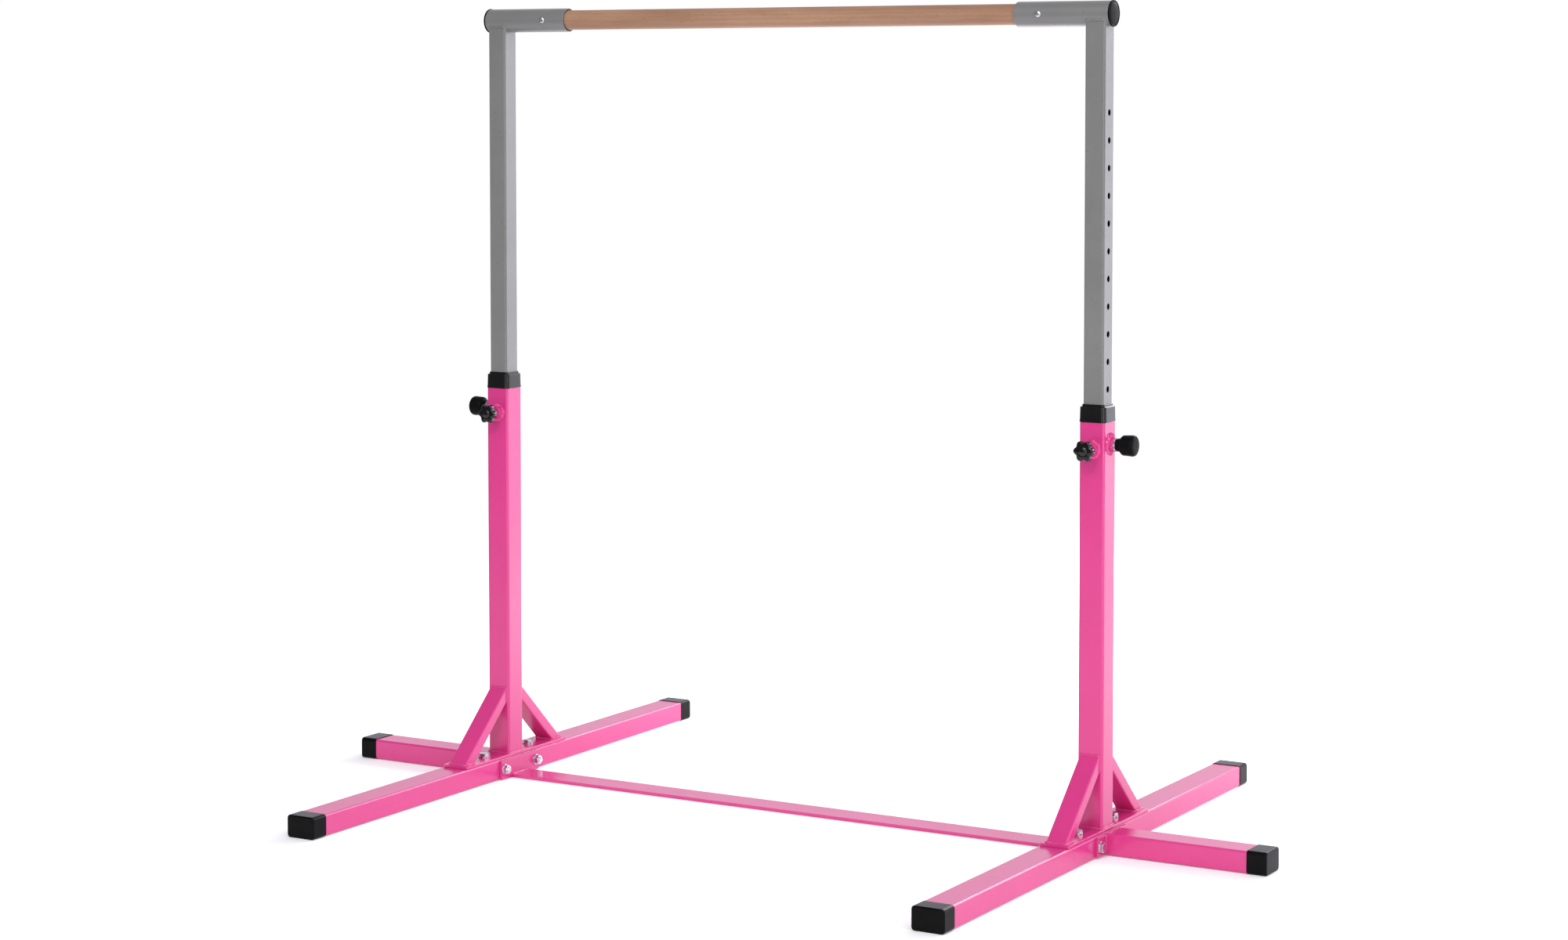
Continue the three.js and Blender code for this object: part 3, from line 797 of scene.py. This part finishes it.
def plunger_pin(place):
    """The locking pin: a rounded tip, the spring's shoulder, and a stem into the knob."""
    radius, shoulder = PIN["radius"], PIN["shoulder"]
    start, end = PIN_ROOM.low.x, PIN_ROOM.high.x
    near = Room("plunger_boss_right").low.x + SEAT_GAP
    far = near + PIN["shoulder_thick"]
    corners = [
        (0, start),
        (radius, start, PIN["tip"]),
        (radius, near, 0.2),
        (shoulder, near, 0.3),
        (shoulder, far, 0.3),
        (radius, far, 0.2),
        (radius, end, 0.5),
        (0, end),
    ]
    return turned("out", PIN_ROOM, corners, 4, closed=False, count=40)


def plunger_spring(place):
    """A coil spring of round wire, between the pin's shoulder and the bush's lip."""
    room = Room("plunger_spring_right")
    turns, wire = SPRING["turns"], SPRING["wire"]
    start, end = room.low.x + wire, room.high.x - wire
    coil = room.size.z / 2 - wire
    lean = (end - start) / (2 * pi * turns)
    steps = round(turns * SPRING["steps"])
    rings = []
    for i in range(steps + 1):
        a = 2 * pi * turns * i / steps
        outwards = Vector((0, cos(a), sin(a)))
        along = Vector((lean, -coil * sin(a), coil * cos(a))).normalized()
        x = start + (end - start) * i / steps
        middle = Vector((x, room.middle.y, room.middle.z)) + coil * outwards
        rings.append(hoop(middle, wire, outwards, along.cross(outwards)))
    shape = Shape()
    shape.loft(rings)
    return shape


def plunger_knob(place):
    """A round pull knob: a neck, a shoulder, a body that widens a little, and a domed end."""
    room = Room("plunger_knob_right")
    start, end = room.low.x, room.high.x
    grip = PIN_ROOM.high.x + SEAT_GAP
    body = start + KNOB["neck_long"]
    neck, radius = KNOB["neck"], KNOB["radius"]
    corners = [
        (0, grip),
        (PIN_HOLE, grip),
        (PIN_HOLE, start, 0.3),
        (neck, start, 0.9),
        (neck, body - 2.2, 1.2),
        (KNOB["root"] - 2.6, body, 1.2),
        (KNOB["root"], body + 3.2, 2.2),
        (radius, end - KNOB["dome"] - 6, 8),
        (radius - 0.5, end - KNOB["dome"], KNOB["edge"]),
        (0.6 * radius, end - 0.5, 9),
        (0, end),
    ]
    return turned("out", room, corners, 6, closed=False, count=80)


# ---------------- clamps
def clamp_stud(place):
    """A threaded stud with a plain, chamfered nose that presses on the upright."""
    room = Room("clamp_stud_right")
    nose, end = -room.high.y, -room.low.y
    plain_end = nose + 3.0
    radius = BOLT["shank"]
    root = radius - THREAD["depth"]
    profile = [
        (radius - 1.6, nose),
        (root, nose + 0.9),
        (root, plain_end),
        *threaded(radius, plain_end + 0.2, end - 0.4, place.turn),
        (radius - 1, end),
    ]
    return lathed("front", room, profile, count=SHANK_ROUND)


def star(inset):
    """The radius of the lobed outline, as a function of the angle."""
    def at(angle):
        lobe = (0.5 + 0.5 * cos(STAR["lobes"] * angle)) ** 0.85
        return STAR["valley"] + (STAR["tip"] - STAR["valley"]) * lobe - inset
    return at


def star_knob(place):
    """A moulded grip of six lobes, with a glossy domed button in a ring groove on its face."""
    room = Room("star_knob_right")
    end = -room.low.y
    back = end - STAR["thick"]
    grip = -Room("clamp_stud_right").low.y + SEAT_GAP
    edge, insert = STAR["edge"], INSERT["body"]
    profile = [(HOLE, grip), (HOLE, back), (insert + 1.2, back), (insert + 1.8, back + 0.8)]
    for inset, drop in reversed(edge_arc(edge * 0.7, 5)):
        profile.append((star(inset), back + 0.8 + drop))
    shoulder = end - STAR_BOSS["dome"] - 0.4
    for inset, drop in edge_arc(edge, 6):
        profile.append((star(inset), shoulder - drop))
    button, groove = STAR_BOSS["radius"], STAR_BOSS["groove"]
    profile += [
        (button + 1.5, shoulder + 0.4),
        (button + 0.9, shoulder + 0.3),
        (button + 0.4, shoulder - groove),
        (button, shoulder - groove),
    ]
    profile += dome(button, shoulder, end, 9)
    return lathed("front", room, profile, count=FINE_ROUND)


def star_insert(place):
    """The turned metal insert that carries the grip: a flange, a neck and a body."""
    room = Room("star_knob_right")
    start = -room.high.y
    end = -room.low.y - STAR["thick"] + 0.5
    flange, neck, body = INSERT["flange"], INSERT["neck"], INSERT["body"]
    corners = [
        (HOLE, start, 0.4),
        (flange, start, 0.5),
        (flange, start + 2.4, 0.5),
        (neck, start + 3.2, 0.3),
        (neck, start + 4.6, 0.3),
        (body, start + 5.4, 0.4),
        (body, end),
        (HOLE, end),
    ]
    return turned("front", room, corners, 3, count=48)


# ---------------- meshes and objects
def mesh_from(bm, name):
    mesh = bpy.data.meshes.new(name)
    bm.to_mesh(mesh)
    bm.free()
    return mesh


def mesh_of(shape, matrix):
    bm = bmesh.new()
    verts = [bm.verts.new(matrix @ v) for v in shape.verts]
    for face in shape.faces:
        bm.faces.new([verts[i] for i in face])
    bmesh.ops.remove_doubles(bm, verts=bm.verts, dist=1e-7)
    bmesh.ops.recalc_face_normals(bm, faces=bm.faces)
    return mesh_from(bm, "skin")


def object_of(name, data):
    obj = bpy.data.objects.new(name, data)
    bpy.context.scene.collection.objects.link(obj)
    return obj


def modify(obj, kind, **values):
    """Applies one modifier to an object's mesh."""
    modifier = obj.modifiers.new(kind.lower(), kind)
    for name, value in values.items():
        setattr(modifier, name, value)
    evaluated = obj.evaluated_get(bpy.context.evaluated_depsgraph_get())
    plain = obj.data
    obj.data = bpy.data.meshes.new_from_object(evaluated)
    obj.modifiers.clear()
    bpy.data.meshes.remove(plain)


def cut_out(obj, cutter_mesh):
    cutter = object_of("cutter", cutter_mesh)
    modify(obj, "BOOLEAN", object=cutter, solver="EXACT")
    bpy.data.objects.remove(cutter)
    bpy.data.meshes.remove(cutter_mesh)


def build(name, shape, place):
    """An object with the shape's skins, cut and rounded, and its welds."""
    obj = object_of(name, mesh_of(shape, place.matrix))
    if shape.cuts:
        cut_out(obj, mesh_of(shape.cuts, place.matrix))
    if shape.edge:
        limit = {"limit_method": "ANGLE", "angle_limit": SMOOTH_ANGLE}
        modify(obj, "BEVEL", width=shape.edge * MM, segments=2, **limit)
    if shape.seams:
        bm = bmesh.new()
        bm.from_mesh(obj.data)
        seams = mesh_of(shape.seams, place.matrix)
        bm.from_mesh(seams)
        bm.to_mesh(obj.data)
        bm.free()
        bpy.data.meshes.remove(seams)
    obj.data.shade_smooth()
    obj.data.set_sharp_from_angle(angle=SMOOTH_ANGLE)
    flat = obj.modifiers.new("flat_faces", "WEIGHTED_NORMAL")
    flat.keep_sharp = True
    flat.weight = 100
    return obj


# ---------------- materials
def add_node(tree, kind, links, **values):
    """Adds a node. An input is linked if it's given a socket, and set otherwise."""
    made = tree.nodes.new(f"ShaderNode{kind}")
    for name, value in values.items():
        setattr(made, name, value)
    for name, source in links.items():
        if isinstance(source, bpy.types.NodeSocket):
            tree.links.new(source, made.inputs[name])
        else:
            made.inputs[name].default_value = source
    return made


def rgb(red, green, blue):
    return (red, green, blue, 1.0)


class Graph:
    """A material with one Principled shader, and short calls to add texture nodes to it."""

    def __init__(self, name, **values):
        self.material = bpy.data.materials.new(name)
        self.material.use_nodes = True
        self.tree = self.material.node_tree
        self.tree.nodes.clear()
        self.shader = self.tree.nodes.new("ShaderNodeBsdfPrincipled")
        output = self.tree.nodes.new("ShaderNodeOutputMaterial")
        self.tree.links.new(self.shader.outputs["BSDF"], output.inputs["Surface"])
        self.place = self.tree.nodes.new("ShaderNodeTexCoord").outputs["Object"]
        for socket, value in values.items():
            self.shader.inputs[socket.replace("_", " ")].default_value = value

    def node(self, kind, links, **values):
        return add_node(self.tree, kind, links, **values)

    def maths(self, operation, *values):
        links = dict(enumerate(values))
        return self.node("Math", links, operation=operation).outputs[0]

    def speckle(self, scale, detail=2.0, stretch=(1, 1, 1), rough=0.5):
        """Noise from 0 to 1, in features of about 1/scale metres."""
        where = self.node("Mapping", {"Vector": self.place, "Scale": stretch})
        links = {"Vector": where.outputs[0], "Scale": scale, "Detail": detail, "Roughness": rough}
        return self.node("TexNoise", links).outputs[0]

    def between(self, factor, low, high, start=0.3, end=0.7):
        links = {0: factor, 1: start, 2: end, 3: low, 4: high}
        return self.node("MapRange", links).outputs[0]

    def blend(self, factor, first, second):
        links = {0: factor, 6: first, 7: second}
        return self.node("Mix", links, data_type="RGBA").outputs[2]

    def bump(self, height, strength, distance, under=None):
        links = {"Height": height, "Strength": strength, "Distance": distance}
        if under is not None:
            links["Normal"] = under
        return self.node("Bump", links).outputs[0]

    def wire(self, **sources):
        for socket, source in sources.items():
            self.tree.links.new(source, self.shader.inputs[socket.replace("_", " ")])
        return self.material


def powder_coat(name, colour, shade, gloss):
    """Gloss powder coat: orange peel, faint mottling, and a gloss that varies a little."""
    g = Graph(name, IOR=1.58)
    mottle = g.between(g.speckle(7, 4), 0, 1)
    base = g.blend(mottle, shade, colour)
    peel = g.bump(g.speckle(420, 2), 0.10, 0.0004)
    fine = g.bump(g.speckle(1500, 1), 0.05, 0.0001, peel)
    rough = g.between(g.speckle(38, 3), gloss, gloss + 0.07)
    return g.wire(Base_Color=base, Roughness=rough, Normal=fine)


def upright_inner_shade(g):
    """1 on the bare inner faces of an upright, which get near-black painted shade for the dark
    inside of the tube, and 0 elsewhere.
    """
    inner = (UPRIGHT.size.x / 2 - TUBE_WALL / 2) * MM
    x, y, z = g.node("SeparateXYZ", {0: g.place}).outputs
    from_axis = g.maths("SUBTRACT", g.maths("ABSOLUTE", x), MAST_X * MM)
    within_x = g.maths("LESS_THAN", g.maths("ABSOLUTE", from_axis), inner)
    within_y = g.maths("LESS_THAN", g.maths("ABSOLUTE", y), inner)
    below_sleeve = g.maths("LESS_THAN", z, (SLEEVE.low.z - 1) * MM)
    return g.maths("MULTIPLY", g.maths("MULTIPLY", within_x, within_y), below_sleeve)


def grey_coat(name):
    """Silver-grey powder coat with a fine metal flake, whose glints are painted as lighter flecks,
    and painted shade inside the upright.
    """
    g = Graph(name, IOR=1.58)
    mottle = g.between(g.speckle(9, 4), 0, 1)
    base = g.blend(mottle, rgb(0.164, 0.163, 0.161), rgb(0.186, 0.185, 0.182))
    # painted glints: the flake's sparkle is painted as lighter flecks in the colour
    flake_glints = g.between(g.speckle(2600, 1), 0, 0.25, 0.62, 0.75)
    base = g.blend(flake_glints, base, rgb(0.27, 0.27, 0.27))
    peel = g.bump(g.speckle(520, 2), 0.035, 0.0004)
    rough = g.between(g.speckle(45, 3), 0.27, 0.35)
    # painted shade: the upright's inner faces are coloured near black
    base = g.blend(upright_inner_shade(g), base, rgb(0.012, 0.012, 0.013))
    return g.wire(Base_Color=base, Roughness=rough, Normal=peel)


def moulded(name, tone, shine, low, high, grain):
    """Moulded black plastic: a fine spark-eroded grain and slightly rubbed patches."""
    g = Graph(name, Specular_IOR_Level=shine)
    dust = g.between(g.speckle(24, 5), 0, 1, 0.35, 0.8)
    base = g.blend(dust, rgb(tone, tone, tone * 1.08), rgb(tone * 1.9, tone * 1.9, tone * 2.05))
    texture = g.bump(g.speckle(1900, 2), grain, 0.00012)
    wavy = g.bump(g.speckle(150, 2), 0.08, 0.0004, texture)
    rough = g.between(g.speckle(60, 4), low, high)
    return g.wire(Base_Color=base, Roughness=rough, Normal=wavy)


def beech(name):
    """Turned beech: growth rings cut lengthwise, fibres along the rail, and short dark flecks."""
    g = Graph(name, IOR=1.45)
    drift = g.node("Mapping", {
        "Vector": g.place, "Location": (0.0, 0.037, -1.476),
        "Rotation": (0.0, radians(1.1), radians(0.8)), "Scale": (0.12, 1, 1)})
    rings = g.node("TexWave", {
        "Vector": drift.outputs[0], "Scale": 42, "Distortion": 2.6, "Detail": 3,
        "Detail Scale": 1.2, "Detail Roughness": 0.6}, wave_type="RINGS", rings_direction="X")
    growth = g.between(rings.outputs[1], 0, 1, 0.1, 0.95)
    patches = g.between(g.speckle(1, 3, (5, 26, 26)), 0, 1, 0.35, 0.68)
    fibres = g.between(g.speckle(1, 4, (18, 620, 620), rough=0.6), 0, 1, 0.3, 0.72)
    flecks = g.between(g.speckle(1, 1, (120, 900, 900)), 0, 1, 0.66, 0.72)
    colour = g.blend(patches, rgb(0.292, 0.150, 0.088), rgb(0.410, 0.232, 0.140))
    colour = g.blend(g.between(growth, 0.0, 0.30, 0, 1), colour, rgb(0.270, 0.126, 0.074))
    colour = g.blend(g.between(fibres, 0.0, 0.30, 0, 1), colour, rgb(0.46, 0.275, 0.18))
    colour = g.blend(g.between(flecks, 0.0, 0.55, 0, 1), colour, rgb(0.165, 0.066, 0.04))
    relief = g.bump(fibres, 0.12, 0.0002)
    rough = g.between(fibres, 0.42, 0.58, 0, 1)
    return g.wire(Base_Color=colour, Roughness=rough, Normal=relief)


def plated(name, bright, dark, low, high):
    """Zinc plate or bare steel: cloudy patches and fine scratches."""
    g = Graph(name, Metallic=1.0)
    clouds = g.between(g.speckle(160, 4), 0, 1)
    base = g.blend(clouds, dark, bright)
    scratches = g.speckle(1, 2, (400, 4000, 900))
    grain = g.bump(scratches, 0.10, 0.00006)
    rough = g.between(g.speckle(520, 4), low, high)
    return g.wire(Base_Color=base, Roughness=rough, Normal=grain)


RECIPES = {
    "pink_powder_coat": (powder_coat, rgb(0.63, 0.038, 0.222), rgb(0.59, 0.034, 0.205), 0.17),
    "grey_powder_coat": (grey_coat,),
    "black_plastic": (moulded, 0.0022, 0.08, 0.12, 0.20, 0.10),
    "collar_plastic": (moulded, 0.0028, 0.36, 0.14, 0.24, 0.12),
    "matt_plastic": (moulded, 0.0028, 0.04, 0.30, 0.40, 0.25),
    "black_knob": (moulded, 0.0026, 0.05, 0.40, 0.50, 0.20),
    "glossy_knob": (moulded, 0.0008, 0.50, 0.08, 0.14, 0.05),
    "beech": (beech,),
    "zinc_hardware": (plated, rgb(0.74, 0.75, 0.78), rgb(0.50, 0.52, 0.56), 0.18, 0.32),
    "spring_steel": (plated, rgb(0.50, 0.52, 0.55), rgb(0.36, 0.37, 0.40), 0.25, 0.40),
}
FINISHES = {name: make(name, *values) for name, (make, *values) in RECIPES.items()}

# ---------------- assembly
# The pieces of each body that a mast has once: what builds and names a piece, and its finish.
MAST_PIECES = {
    "base_frame": [
        (base_tube, "pink_powder_coat"),
        (outrigger, "pink_powder_coat"),
        (outrigger_cap, "black_plastic"),
        (foot_plate, "pink_powder_coat"),
        (post, "pink_powder_coat"),
        (post_collar, "collar_plastic"),
        (plunger_boss, "pink_powder_coat"),
        (plunger_bush, "zinc_hardware"),
        (clamp_boss, "pink_powder_coat"),
    ],
    "upper_frame": [
        (upright, "grey_powder_coat"),
        (sleeve, "grey_powder_coat"),
        (sleeve_cap, "matt_plastic"),
        (rail_bush, "black_plastic"),
        (rail_screw, "zinc_hardware"),
    ],
    "plunger_{}": [(plunger_pin, "zinc_hardware"), (plunger_knob, "black_knob")],
    "clamp_stud_{}": [(clamp_stud, "zinc_hardware")],
    "star_knob_{}": [(star_knob, "glossy_knob")],
}
# The pieces of the base frame that a mast has at its front and at its back.
END_PIECES = [
    (base_cap, "black_plastic"),
    (brace, "pink_powder_coat"),
    (side_bolt, "zinc_hardware"),
    (side_nut, "zinc_hardware"),
    (plate_bolt, "zinc_hardware"),
]


def add_piece(make, body, finish, place, replaces=True):
    name = make.__name__ + place.suffix
    piece = build(f"fine_{name}", make(place), place)
    piece.data.materials.clear()
    piece.data.materials.append(FINISHES[finish])
    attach(piece, body)
    if replaces:
        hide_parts(name)
    return piece


for side in SIDES:
    for body, pieces in MAST_PIECES.items():
        for make, finish in pieces:
            add_piece(make, body.format(side), finish, Place(side))
    # the insert shares the star knob's CAD node
    add_piece(star_insert, f"star_knob_{side}", "zinc_hardware", Place(side), replaces=False)
    for end in ENDS:
        for make, finish in END_PIECES:
            add_piece(make, "base_frame", finish, Place(side, end))
add_piece(rail, "upper_frame", "beech", Place())
add_piece(floor_strap, "base_frame", "pink_powder_coat", Place())

for side, sign in SIDES.items():  # a spring stays at its bush, with a mesh of its own
    spring = add_piece(plunger_spring, "base_frame", "spring_steel", Place(side))
    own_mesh(spring)


# ---------------- floor, light and camera
FLOOR_REACH = 6.0  # half the floor's side, in metres
FLOOR_FADE = (2.6, 5.2)  # the radii between which the floor fades out
# painted light: the floor itself emits the pool of light below
FLOOR_POOL = (-0.2, 2.4, 0.0)  # the middle of a pool of light on the floor
FLOOR_POOL_EDGE = (0.6, 2.6)  # its inner and outer radius
FLOOR_GLOW = (2.0, 0.12)  # what it adds inside and outside those radii
FLOOR_TINT = (0.98, 0.98, 1.04)
FRONT_GLOW = 0.22  # the studio's radiance at the front left, and at the back right
BACK_GLOW = 1.15
BACK_SIDE = (0.30, 0.95, -0.25)
BACK_EDGE = (-0.6, 1.0)  # it grows between these cosines of the angle from BACK_SIDE
LAMP_GLOW = 1.35  # added by a large round lamp at the back right
LAMP_SIDE = (0.66, 0.75, 0.03)
LAMP_EDGE = (cos(radians(38)), cos(radians(12)))
COOL = (0.98, 0.97, 1.07)  # the tint of the studio's light
LENS = {"sensor": 36.0, "focal": 73.14, "shift": -0.125}
CAMERA_PLACE = (3.0498, -5.2544, 1.3927)
CAMERA_TURN = (90 - 3.37, 0, 30.148)  # degrees


def pale_floor():
    """A pale matt floor that glows: its emission paints a pool of light behind the object; it
    fades out far away.
    """
    g = Graph("studio_floor", Specular_IOR_Level=0.0, Emission_Color=rgb(*FLOOR_TINT))
    tone = g.blend(g.between(g.speckle(3, 3), 0, 1), rgb(0.93, 0.93, 0.93), rgb(0.96, 0.96, 0.96))
    rough = g.between(g.speckle(30, 3), 0.55, 0.65)
    far = g.node("VectorMath", {0: g.place}, operation="LENGTH").outputs["Value"]
    solid = g.between(far, 1, 0, *FLOOR_FADE)
    # painted light: emission makes a glowing pool on the floor
    away = g.node("VectorMath", {0: g.place, 1: FLOOR_POOL}, operation="DISTANCE")
    links = dict(enumerate((away.outputs["Value"], *FLOOR_POOL_EDGE, *FLOOR_GLOW)))
    glow = g.node("MapRange", links, interpolation_type="SMOOTHSTEP").outputs[0]
    return g.wire(Base_Color=tone, Roughness=rough, Alpha=solid, Emission_Strength=glow)


def make_floor():
    bm = bmesh.new()
    bmesh.ops.create_grid(bm, x_segments=8, y_segments=8, size=FLOOR_REACH)
    floor = object_of("studio_floor", mesh_from(bm, "studio_floor"))
    floor.data.materials.append(pale_floor())


def make_world():
    """A white background. The object is lit by a soft glow that grows towards the back right."""
    world = bpy.data.worlds.new("studio")
    world.use_nodes = True
    tree = world.node_tree
    direction = tree.nodes.new("ShaderNodeTexCoord").outputs["Generated"]

    def glow(side, edges, low, high):
        links = {0: direction, 1: Vector(side).normalized()}
        toward = add_node(tree, "VectorMath", links, operation="DOT_PRODUCT")
        links = dict(enumerate((toward.outputs["Value"], *edges, low, high)))
        return add_node(tree, "MapRange", links, interpolation_type="SMOOTHSTEP").outputs[0]

    back = glow(BACK_SIDE, BACK_EDGE, FRONT_GLOW, BACK_GLOW)
    lamp = glow(LAMP_SIDE, LAMP_EDGE, 0.0, LAMP_GLOW)
    total = add_node(tree, "Math", {0: back, 1: lamp})
    links = {0: COOL, "Scale": total.outputs[0]}
    light = add_node(tree, "VectorMath", links, operation="SCALE")
    in_view = tree.nodes.new("ShaderNodeLightPath").outputs["Is Camera Ray"]
    links = {0: in_view, 6: light.outputs[0], 7: rgb(1, 1, 1)}
    seen = add_node(tree, "Mix", links, data_type="RGBA")
    tree.links.new(seen.outputs[2], tree.nodes["Background"].inputs["Color"])
    bpy.context.scene.world = world


def hang(name, light, aim):
    lamp = object_of(name, light)
    lamp.rotation_euler = aim.to_track_quat("-Z", "Y").to_euler()
    return lamp


def sun(name, azimuth, elevation, spread, strength):
    """A distant round soft light. Azimuth 0 is the front and 90 the right; angles in degrees."""
    light = bpy.data.lights.new(name, "SUN")
    light.angle = radians(spread)
    light.energy = strength
    a, e = radians(azimuth), radians(elevation)
    source = Vector((sin(a) * cos(e), -cos(a) * cos(e), sin(e)))
    hang(name, light, -source)


def softbox(name, position, target, size, radiance):
    """A rectangular soft light; its radiance is what a mirror would show of it."""
    light = bpy.data.lights.new(name, "AREA")
    light.shape = "RECTANGLE"
    light.size, light.size_y = size
    light.energy = radiance * pi * size[0] * size[1]
    lamp = hang(name, light, Vector(target) - Vector(position))
    lamp.location = position
    lamp.visible_camera = False


def make_camera():
    camera = bpy.data.cameras.new("camera")
    camera.sensor_width = LENS["sensor"]
    camera.lens = LENS["focal"]
    camera.shift_y = LENS["shift"]
    camera.clip_end = 200.0
    rig = object_of("camera", camera)
    rig.location = CAMERA_PLACE
    rig.rotation_euler = [radians(v) for v in CAMERA_TURN]
    bpy.context.scene.camera = rig


make_floor()
make_world()
sun("key", 26, 34, 90, 1.85)
softbox("flash", (1.5, -4.8, 4.3), (0.4, 0.0, 0.7), (1.1, 1.1), 22.0)
softbox("corner_strip", (3.4, -1.5, 0.75), (0.4, 0.0, 0.5), (0.6, 1.5), 5.0)
softbox("edge_panel", (0.7, 4.3, 2.7), (0.1, 0.0, 0.1), (3.2, 1.3), 6.5)
make_camera()

bpy.context.scene.view_settings.view_transform = "Standard"
bpy.context.scene.view_settings.look = "None"
